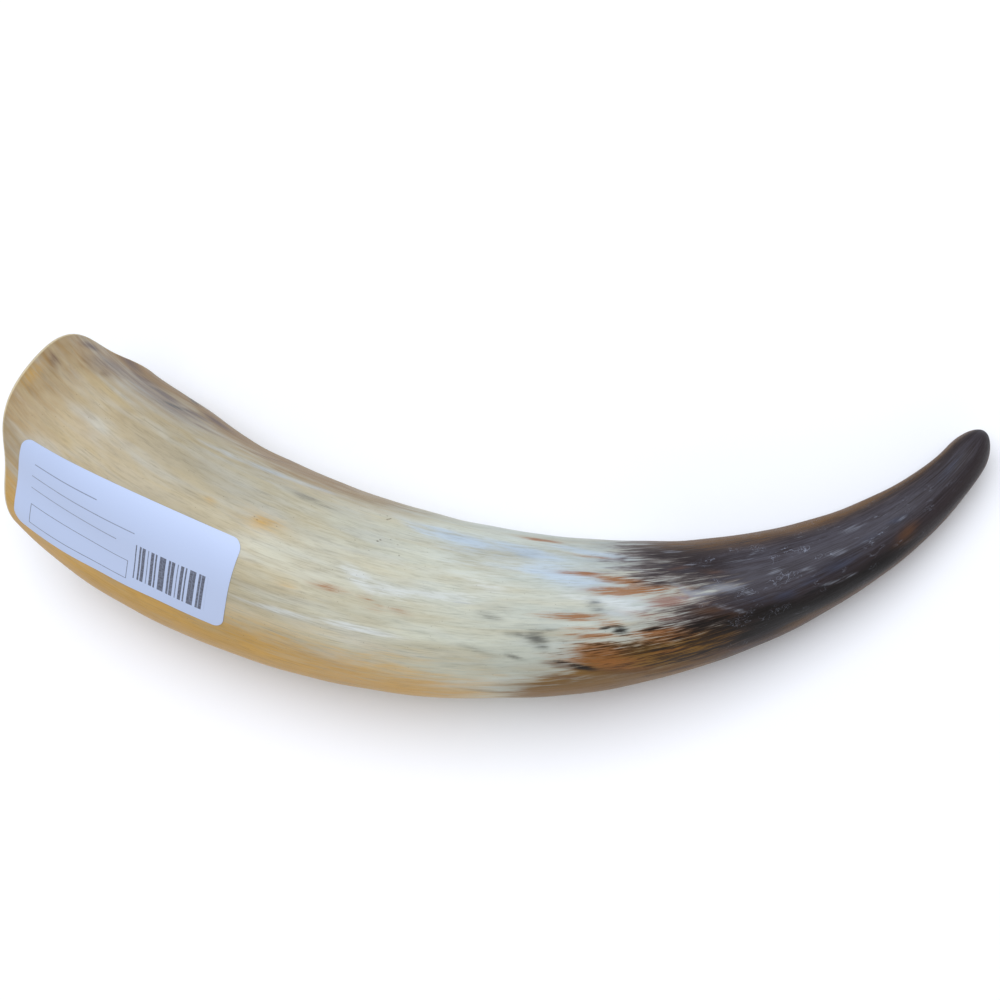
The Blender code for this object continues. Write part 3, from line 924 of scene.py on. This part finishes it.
@dataclass(frozen=True)
class LabelPaper:
    """Thermal label paper: a smooth white coating with grey-black print and a slight sheen; its blue cast is
    painted sky light.
    """

    name: str = "coated_label_paper"
    # The paper colour's blue cast is painted cool sky light.
    paper: str = "#B8C6E2"
    ink: str = "#4A4C58"
    frame_centre: tuple[float, float] = (21.3, 5.2)
    frame_half: tuple[float, float] = (15.7, 2.9)
    frame_line: float = 0.09
    line_blur: float = 0.05
    ruled_lines: tuple[tuple[float, float, float], ...] = (
        (5.5, 25.5, 21.2),
        (5.0, 38.0, 17.4),
        (5.0, 33.0, 13.4),
    )
    ruled_half: float = 0.13
    ruled_strength: float = 0.7
    bars_centre: tuple[float, float] = (49.6, 9.0)
    bars_half: tuple[float, float] = (10.6, 5.6)
    bar_pitch: tuple[float, float] = (1.25, 2.9)
    bar_span: tuple[float, float] = (-0.35, 0.05)
    fluff_scale: float = 1.6
    fluff_span: tuple[float, float] = (0.3, 0.7)
    ink_range: tuple[float, float] = (0.75, 1.0)
    tooth_strength: float = 0.12
    tooth_depth: float = 0.05 * MM
    roughness: float = 0.5

    @staticmethod
    def box_distance(
        tree: bpy.types.NodeTree,
        place: tuple[bpy.types.NodeSocket, bpy.types.NodeSocket],
        centre: tuple[float, float],
        half: tuple[float, float],
    ) -> bpy.types.NodeSocket:
        """Distance outside a rectangle: the larger of how far each coordinate is past its side.

        Args:
            tree: the material's nodes.
            place: the outputs that hold the label's two coordinates in millimetres.
            centre: the rectangle's middle.
            half: half of its width and height.

        Returns:
            The output that holds the distance, negative inside.
        """
        past = []
        for coordinate, middle, reach in zip(place, centre, half):
            away = calculated(tree, "ABSOLUTE", calculated(tree, "SUBTRACT", coordinate, middle))
            past.append(calculated(tree, "SUBTRACT", away, reach))
        return calculated(tree, "MAXIMUM", *past)

    def print_marks(
        self, tree: bpy.types.NodeTree, place: tuple[bpy.types.NodeSocket, bpy.types.NodeSocket]
    ) -> bpy.types.NodeSocket:
        """Draws a plain frame, ruled lines and a block of bars that says nothing.

        Args:
            tree: the material's nodes.
            place: the outputs that hold the label's two coordinates in millimetres.

        Returns:
            The output that holds how much ink there is.
        """
        blur = self.line_blur
        outside = self.box_distance(tree, place, self.frame_centre, self.frame_half)
        off_line = calculated(tree, "ABSOLUTE", outside)
        ink = ranged(tree, off_line, (self.frame_line + blur, self.frame_line - blur), (0.0, 1.0))
        for left, right, height in self.ruled_lines:
            centre, half = ((left + right) / 2, height), ((right - left) / 2, self.ruled_half)
            outside = self.box_distance(tree, place, centre, half)
            ruled = ranged(tree, outside, (blur, -blur), (0.0, self.ruled_strength))
            ink = calculated(tree, "MAXIMUM", ink, ruled)
        block = self.box_distance(tree, place, self.bars_centre, self.bars_half)
        inside = ranged(tree, block, (blur, -blur), (0.0, 1.0))
        waves = [
            calculated(tree, "SINE", calculated(tree, "MULTIPLY", place[0], 2 * np.pi / pitch))
            for pitch in self.bar_pitch
        ]
        bars = ranged(tree, calculated(tree, "ADD", *waves), self.bar_span, (0.0, 1.0))
        return calculated(tree, "MAXIMUM", ink, calculated(tree, "MULTIPLY", inside, bars))

    def make(self) -> bpy.types.Material:
        """Builds the material.

        Returns:
            The material, which reads the label's UV map in millimetres.
        """
        material = bpy.data.materials.new(self.name)
        material.use_nodes = True
        tree = material.node_tree
        shader = tree.nodes["Principled BSDF"]
        uv = add_node(tree, "ShaderNodeUVMap", {"uv_map": "label_mm"}).outputs[0]
        split = add_node(tree, "ShaderNodeSeparateXYZ", inputs={0: uv})
        ink = self.print_marks(tree, (split.outputs[0], split.outputs[1]))

        fluff = add_node(
            tree, "ShaderNodeTexNoise", inputs={"Vector": uv, "Scale": self.fluff_scale, "Detail": 3.0}
        ).outputs[0]
        printed = calculated(tree, "MULTIPLY", ink, ranged(tree, fluff, self.fluff_span, self.ink_range))
        colour = blended(tree, printed, linear(self.paper), linear(self.ink))
        relief = {"Height": fluff, "Strength": self.tooth_strength, "Distance": self.tooth_depth}
        tooth = add_node(tree, "ShaderNodeBump", inputs=relief)
        tree.links.new(colour, shader.inputs["Base Color"])
        tree.links.new(tooth.outputs[0], shader.inputs["Normal"])
        shader.inputs["Roughness"].default_value = self.roughness
        return material


@dataclass(frozen=True)
class HornSheath:
    """The horn itself: skin, rounded tip, sawn rim and cavity in one closed surface."""

    form: HornForm
    name: str = "horn_sheath"
    columns: int = 240
    skin_rings: int = 318
    tip_rings: int = 14
    rim_rings: int = 4
    cavity_rings: int = 40
    cavity_crowding: float = 1.3
    rim_chamfer: float = 0.8
    grain_radius: float = 25.0
    sharp_angle: float = 32.0

    def rings(self) -> tuple[np.ndarray, np.ndarray, np.ndarray, np.ndarray]:
        """Lays out the rings from the cavity's blind end, over the rim, to the tip.

        The rim's rings are blended straight between the cavity's edge and the skin's, so they lie in the cut.

        Returns:
            Points, shares, angles in radians, and for each ring 1 for cavity, 2 for rim or 0 for skin.
        """
        angle = np.arange(self.columns) * 2 * np.pi / self.columns
        form = self.form

        mouth = form.share_at_mouth(form.cavity, angle)
        deep = np.linspace(1.0, 0.0, self.cavity_rings + 1)[1:, None] ** self.cavity_crowding
        cavity_share = mouth + (form.cavity_end - mouth) * deep
        cavity_angle = np.broadcast_to(angle, cavity_share.shape)
        cavity = form.cavity(cavity_share, cavity_angle)

        edge_share = form.share_at_mouth(form.skin, angle)
        edge = form.skin(edge_share, angle)
        inward = edge.mean(axis=0) - edge
        edge = edge + inward / np.linalg.norm(inward, axis=1, keepdims=True) * self.rim_chamfer * MM
        blend = np.linspace(0.0, 1.0, self.rim_rings + 2)[1:, None, None]
        rim = cavity[-1] + (edge - cavity[-1]) * blend
        rim_share = np.broadcast_to(edge_share, rim.shape[:2])

        start = form.share_at_mouth(form.skin, angle, behind=self.rim_chamfer)
        tip_start = 1 - form.tip_rounding / form.length
        part = np.linspace(0.0, 1.0, self.skin_rings)[:, None]
        skin_share = start + (tip_start - start) * part
        bend = np.linspace(0.0, np.pi / 2, self.tip_rings + 1)[1:-1, None]
        tip_share = tip_start + (1 - tip_start) * np.sin(bend) + np.zeros(self.columns)
        skin_share = np.concatenate([skin_share, tip_share])
        skin = form.skin(skin_share, np.broadcast_to(angle, skin_share.shape))

        points = np.concatenate([cavity, rim, skin])
        shares = np.concatenate([cavity_share, rim_share, skin_share])
        kinds = np.repeat((1, 2, 0), (len(cavity), len(rim) + 1, len(skin) - 1))
        return points, shares, np.broadcast_to(angle, shares.shape), kinds

    def mesh(self) -> bpy.types.Mesh:
        """Builds the closed mesh with its attributes: quads between rings, and a fan at each end.

        Returns:
            The mesh.
        """
        points, shares, angles, kinds = self.rings()
        ring_count, columns = shares.shape
        blind_end = self.form.cavity(np.array([self.form.cavity_end]), np.zeros(1))
        tip = self.form.skin(np.ones(1), np.zeros(1))
        vertices = np.concatenate([points.reshape(-1, 3), blind_end, tip])

        index = np.arange(ring_count * columns).reshape(ring_count, columns)
        after = np.roll(index, -1, axis=1)
        quads = np.stack((index[:-1], after[:-1], after[1:], index[1:]), axis=-1).reshape(-1, 4)
        count = ring_count * columns
        blind_fan = np.stack((after[0], index[0], np.full(columns, count)), axis=-1)
        tip_fan = np.stack((index[-1], after[-1], np.full(columns, count + 1)), axis=-1)

        mesh = bpy.data.meshes.new(self.name)
        faces = [face for group in (quads, blind_fan, tip_fan) for face in group.tolist()]
        mesh.from_pydata(vertices.tolist(), [], faces)
        mesh.validate()
        mesh.shade_smooth()
        mesh.set_sharp_from_angle(angle=np.radians(self.sharp_angle))

        share = np.append(shares.ravel(), (self.form.cavity_end, 1.0))
        angle = np.append(angles.ravel(), (0.0, 0.0))
        kind = np.append(np.repeat(kinds, columns), (1, 0))
        self.write_attributes(mesh, share, angle, kind)
        return mesh

    def write_attributes(
        self, mesh: bpy.types.Mesh, share: np.ndarray, angle: np.ndarray, kind: np.ndarray
    ) -> None:
        """Gives each vertex its share, its straightened place and its tints, the painted light among them.

        The straightened place is millimetres along the horn and a circle of fixed radius round it, so that
        noise stretched along its first axis runs along the fibres and has no seam.

        Args:
            mesh: the horn's mesh.
            share: each vertex's place along the horn.
            angle: its angle in radians.
            kind: 0 for skin, 1 for cavity, 2 for rim.
        """
        along = share * self.form.length
        radius = self.grain_radius
        grain = np.stack((along, radius * np.cos(angle), radius * np.sin(angle)), axis=-1)
        fields = Colouring(self.form).fields(along, np.degrees(angle))
        fields[PigmentAndPaintedLight.INSIDE] = np.where(kind == 1, 1.0, 0.0)
        fields[PigmentAndPaintedLight.SAWN] = np.where(kind == 2, 1.0, 0.0)
        mesh.attributes.new("grain", "FLOAT_VECTOR", "POINT").data.foreach_set("vector", grain.ravel())
        mesh.attributes.new("share", "FLOAT", "POINT").data.foreach_set("value", share)
        for tint, field in fields.items():
            mesh.attributes.new(tint.value, "FLOAT", "POINT").data.foreach_set("value", field)

    def build(self) -> bpy.types.Object:
        """Makes the piece, puts it in place of its solid and dresses it.

        Returns:
            The finished piece.
        """
        mesh = self.mesh()
        mesh.materials.append(PolishedKeratin().make())
        piece = bpy.data.objects.new(self.name, mesh)
        bpy.context.scene.collection.objects.link(piece)
        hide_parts("horn")
        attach(piece, "root")
        return piece


@dataclass(frozen=True)
class PriceLabel:
    """The paper sticker near the base: a thin sheet with round corners that follows the skin."""

    form: HornForm
    name: str = "price_label"
    near_base: tuple[tuple[float, float], tuple[float, float]] = ((0.021, 17.0), (0.004, 77.5))
    near_belly: tuple[tuple[float, float], tuple[float, float]] = ((0.241, 32.3), (0.243, 92.8))
    bow: float = 4.2
    length: float = 66.0
    width: float = 26.5
    corner_radius: float = 3.0
    thickness: float = 0.12
    gap: float = 0.05
    columns: int = 133
    rows: int = 61
    sharp_angle: float = 40.0

    def sheet(self, height: float) -> tuple[np.ndarray, np.ndarray]:
        """Lays the label over the skin: its corners' shares and angles blended, then lifted along the normal.

        Rows bunch up near the long edges and shorten there by a quarter circle, which rounds the corners.

        Args:
            height: distance over the skin in millimetres.

        Returns:
            Points in metres, and the label's own coordinates in millimetres.
        """
        half = self.width / 2
        across = half * np.sin(np.linspace(-np.pi / 2, np.pi / 2, self.rows))[:, None]
        into_corner = np.clip(np.abs(across) - (half - self.corner_radius), 0.0, None)
        cut = self.corner_radius - np.sqrt(self.corner_radius**2 - into_corner**2)
        along = 0.5 + (0.5 - cut / self.length) * np.linspace(-1.0, 1.0, self.columns)
        upward = across / self.width + 0.5 + np.zeros_like(along)

        base, belly = np.array(self.near_base), np.array(self.near_belly)
        start = base[0] + (base[1] - base[0]) * upward[..., None]
        end = belly[0] + (belly[1] - belly[0]) * upward[..., None]
        place = start + (end - start) * along[..., None]
        share = place[..., 0]
        angle = np.radians(place[..., 1] + self.bow * 4 * along * (1 - along))

        step = 1e-4
        skin = self.form.skin(share, angle)
        ahead = self.form.skin(share + step, angle) - skin
        round_it = self.form.skin(share, angle + step) - skin
        normal = np.cross(ahead, round_it)
        normal *= np.sign(normal[..., 2:])
        normal /= np.linalg.norm(normal, axis=-1, keepdims=True)
        own = np.stack((along * self.length, upward * self.width), axis=-1)
        return skin + normal * height * MM, own

    def build(self) -> bpy.types.Object:
        """Makes the closed sheet with its UV map in millimetres, in place of its solid.

        Returns:
            The finished piece.
        """
        under, own = self.sheet(self.gap)
        over, _ = self.sheet(self.gap + self.thickness)
        rows, columns = own.shape[:2]
        count = rows * columns
        low = np.arange(count).reshape(rows, columns)
        cells = np.stack((low[:-1, :-1], low[:-1, 1:], low[1:, 1:], low[1:, :-1]), axis=-1).reshape(-1, 4)
        outline = np.concatenate([low[0], low[1:-1, -1], low[-1, ::-1], low[-2:0:-1, 0]])
        next_on = np.roll(outline, -1)
        sides = np.stack((outline, next_on, next_on + count, outline + count), axis=-1)
        faces = np.concatenate([cells[:, ::-1], cells + count, sides])
        vertices = np.concatenate([under.reshape(-1, 3), over.reshape(-1, 3)])

        mesh = bpy.data.meshes.new(self.name)
        mesh.from_pydata(vertices.tolist(), [], faces.tolist())
        mesh.shade_smooth()
        mesh.set_sharp_from_angle(angle=np.radians(self.sharp_angle))
        corner_vertices = np.empty(len(mesh.loops), dtype=np.int32)
        mesh.loops.foreach_get("vertex_index", corner_vertices)
        uv = np.concatenate([own.reshape(-1, 2)] * 2)[corner_vertices]
        mesh.uv_layers.new(name="label_mm").uv.foreach_set("vector", uv.ravel())
        mesh.materials.append(LabelPaper().make())

        piece = bpy.data.objects.new(self.name, mesh)
        bpy.context.scene.collection.objects.link(piece)
        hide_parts("label")
        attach(piece, "root")
        return piece


@dataclass(frozen=True)
class Studio:
    """A pale floor, soft light and the camera, nearly straight above the horn.

    The floor's side, the lights' places and their sides are metres.
    """

    floor_side: float = 6.0
    floor_drop: float = 0.3
    floor_colour: str = "#F6F6F6"
    floor_roughness: float = 0.9
    sky_colour: str = "#F8FAFF"
    sky_strength: float = 0.4
    key_at: tuple[float, float, float] = (-0.1, 0.35, 1.5)
    key_side: float = 1.4
    key_power: float = 26.0
    key_colour: str = "#EFF4FF"
    fill_at: tuple[float, float, float] = (0.1, -1.2, 0.5)
    fill_side: float = 1.0
    fill_power: float = 2.0
    fill_colour: str = "#FFE2B8"
    camera_target: tuple[float, float, float] = (1.89, 5.34, 22.0)
    camera_distance: float = 480.0
    camera_lean: tuple[float, float] = (8.0, -8.0)
    pixel_size: float = 0.265
    picture_pixels: int = 1000
    sensor_width: float = 36.0
    nearest_seen: float = 10.0

    def floor(self) -> None:
        """Lays a plain matt floor just under the horn."""
        half = self.floor_side / 2
        sides = ((-half, -half), (half, -half), (half, half), (-half, half))
        corners = [(x, y, -self.floor_drop * MM) for x, y in sides]
        mesh = bpy.data.meshes.new("floor")
        mesh.from_pydata(corners, [], [(0, 1, 2, 3)])
        material = bpy.data.materials.new("matt_white_board")
        material.use_nodes = True
        shader = material.node_tree.nodes["Principled BSDF"]
        shader.inputs["Base Color"].default_value = linear(self.floor_colour)
        shader.inputs["Roughness"].default_value = self.floor_roughness
        mesh.materials.append(material)
        floor = bpy.data.objects.new("floor", mesh)
        bpy.context.scene.collection.objects.link(floor)

    def area_light(
        self, name: str, at: tuple[float, float, float], side: float, power: float, colour: str
    ) -> None:
        """Hangs a square soft light that faces the horn.

        Args:
            name: the light's name.
            at: where it hangs, in metres.
            side: its side in metres.
            power: its power in watts.
            colour: its sRGB colour.
        """
        data = bpy.data.lights.new(name, "AREA")
        data.shape = "SQUARE"
        data.size = side
        data.energy = power
        data.color = linear(colour)[:3]
        light = bpy.data.objects.new(name, data)
        light.location = at
        light.rotation_euler = Vector(at).to_track_quat("Z", "Y").to_euler()
        bpy.context.scene.collection.objects.link(light)

    def sky(self) -> None:
        """Fills the room with even pale light."""
        world = bpy.data.worlds.new("studio")
        world.use_nodes = True
        background = world.node_tree.nodes["Background"]
        background.inputs["Color"].default_value = linear(self.sky_colour)
        background.inputs["Strength"].default_value = self.sky_strength
        bpy.context.scene.world = world
        bpy.context.scene.view_settings.view_transform = "Standard"

    def camera(self) -> None:
        """Sets the camera: it leans a little off the vertical, and its lens gives the pixel size."""
        lean_x, lean_y = (np.sin(np.radians(angle)) for angle in self.camera_lean)
        back = Vector((lean_x, lean_y, np.sqrt(1 - lean_x**2 - lean_y**2)))
        right = Vector((0.0, 1.0, 0.0)).cross(back).normalized()
        up = back.cross(right)
        data = bpy.data.cameras.new("camera")
        data.sensor_width = self.sensor_width
        data.lens = data.sensor_width * self.camera_distance / (self.pixel_size * self.picture_pixels)
        data.clip_start = self.nearest_seen * MM
        camera = bpy.data.objects.new("camera", data)
        place = (Vector(self.camera_target) + back * self.camera_distance) * MM
        turn = Matrix((right, up, back)).transposed().to_4x4()
        camera.matrix_world = Matrix.Translation(place) @ turn
        bpy.context.scene.collection.objects.link(camera)
        bpy.context.scene.camera = camera

    def build(self) -> None:
        """Sets up the whole studio."""
        self.camera()
        self.floor()
        self.sky()
        self.area_light("key", self.key_at, self.key_side, self.key_power, self.key_colour)
        self.area_light("fill", self.fill_at, self.fill_side, self.fill_power, self.fill_colour)


def main() -> None:
    """Builds the studio and the pieces in order, and reports each one."""
    logging.basicConfig(level=logging.INFO, format="%(message)s")
    Studio().build()
    form = HornForm()
    for maker in (HornSheath(form), PriceLabel(form)):
        piece = maker.build()
        log.info("%s: %d faces", piece.name, len(piece.data.polygons))


if __name__ == "__main__":
    main()
